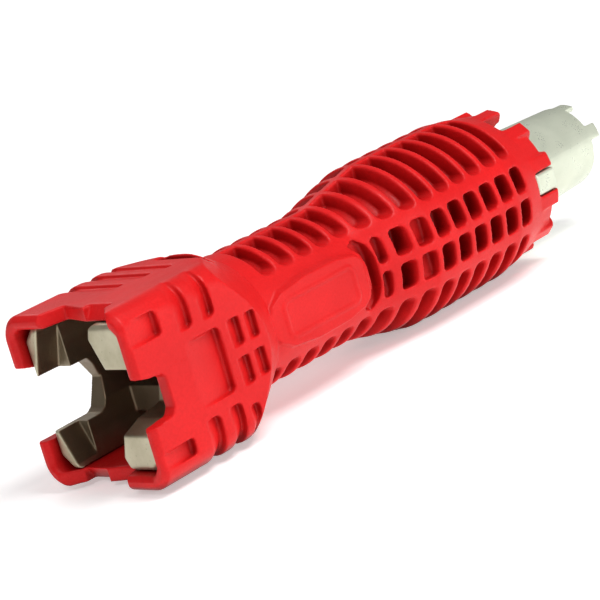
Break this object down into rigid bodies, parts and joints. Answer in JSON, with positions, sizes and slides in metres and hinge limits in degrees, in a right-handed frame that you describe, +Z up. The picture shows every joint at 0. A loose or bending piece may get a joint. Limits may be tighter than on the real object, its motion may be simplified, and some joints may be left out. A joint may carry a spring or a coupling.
{
  "type": "basin wrench",
  "caption": "Hollow moulded faucet and sink nut wrench: square jawed head with a cast cube insert, finned grip, and a cast tabbed cylinder insert in a castellated collar.",
  "frame": {"origin": "middle of the bounding box at its underside: half way along the tool, under its axis, on the surface it lies on", "axes": "+X along the tool's axis from the jawed head to the cylinder insert, +Z up, -Y towards the side whose jaw gap is shallow"},
  "size_m": [0.289, 0.0678, 0.0678],
  "materials": {
    "nylon": "moulded red glass-filled nylon, satin with a fine grain",
    "cast_zinc": "die-cast, warm satin nickel colour",
    "cast_aluminium": "die-cast, fine satin"
  },
  "bodies": {
    "handle": {"handle": "nylon"},
    "cube_insert": {"cube_insert": "cast_zinc"},
    "cylinder_insert": {"cylinder_insert": "cast_aluminium"}
  },
  "joints": [
    {"name": "cube_insert_pull", "type": "slide", "parent": "handle", "child": "cube_insert", "axis": [-1, 0, 0], "range_m": [0, 0.06]},
    {"name": "cylinder_insert_pull", "type": "slide", "parent": "handle", "child": "cylinder_insert", "axis": [1, 0, 0], "range_m": [0, 0.07]}
  ]
}
